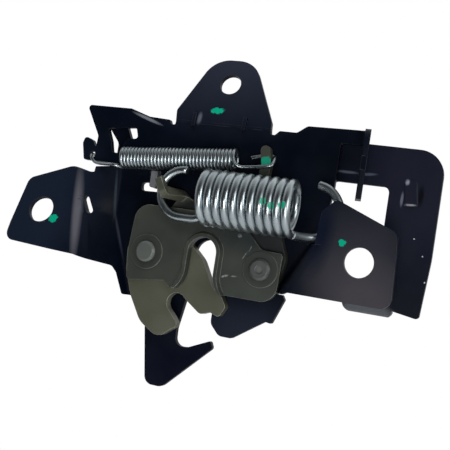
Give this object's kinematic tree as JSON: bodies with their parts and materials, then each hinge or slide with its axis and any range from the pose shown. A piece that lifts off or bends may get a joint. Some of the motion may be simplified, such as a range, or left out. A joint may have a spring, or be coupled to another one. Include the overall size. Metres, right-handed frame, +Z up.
{
  "type": "bonnet latch",
  "caption": "Car bonnet latch with claw, pawl, safety hook with finger frame, striker guide plate and extension springs on a pressed base plate.",
  "frame": {"origin": "centre of the latched striker wire, midway between the two rivets, on the front face of the base plate", "axes": "+Z up as in the picture, with the striker slot opening downwards; +X to the right seen from the front, towards the finger frame; +Y to the rear, from the guide plate towards the safety lever"},
  "size_m": [0.155, 0.0382, 0.1245],
  "materials": {
    "black_coat": "satin black dip coat with a blue tinge",
    "lever_coat": "satin black dip coat",
    "olive_plate": "olive grey passivated steel, scratched",
    "claw_steel": "olive yellow passivated steel",
    "pawl_steel": "olive grey passivated steel",
    "rivet_steel": "passivated",
    "sleeve_steel": "plain",
    "washer_plastic": "low friction plastic",
    "buffer_rubber": "grey",
    "spring_zinc": "bright zinc"
  },
  "bodies": {
    "base": {"base_plate": "black_coat", "front_plate": "olive_plate", "stop_buffer": "buffer_rubber", "claw_rivet": "rivet_steel", "pawl_rivet": "rivet_steel", "claw_bush": "sleeve_steel", "pawl_bush": "sleeve_steel", "claw_front_washer": "washer_plastic", "claw_rear_washer": "washer_plastic", "pawl_front_washer": "washer_plastic", "pawl_rear_washer": "washer_plastic", "safety_bush": "sleeve_steel", "safety_washer": "sleeve_steel", "pawl_backing_washer": "sleeve_steel", "claw_spring": "spring_zinc", "pawl_spring": "spring_zinc", "safety_spring": "spring_zinc"},
    "claw": {"claw": "claw_steel"},
    "pawl": {"pawl": "pawl_steel"},
    "safety_lever": {"safety_lever": "lever_coat"}
  },
  "joints": [
    {"name": "claw_pivot", "type": "hinge", "parent": "base", "child": "claw", "pos_m": [-0.022, -0.00225, 0], "axis": [0, -1, 0], "range_deg": [0, 51], "stiffness_Nm_per_rad": 0.5, "deforming": ["claw_spring"]},
    {"name": "pawl_pivot", "type": "hinge", "parent": "base", "child": "pawl", "pos_m": [0.022, -0.00225, 0], "axis": [0, 1, 0], "range_deg": [-8, 12], "stiffness_Nm_per_rad": 0.2, "deforming": ["pawl_spring"]},
    {"name": "safety_pivot", "type": "hinge", "parent": "base", "child": "safety_lever", "pos_m": [-0.022, 0.006, 0], "axis": [0, 1, 0], "range_deg": [0, 15], "stiffness_Nm_per_rad": 0.3, "deforming": ["safety_spring"]}
  ]
}
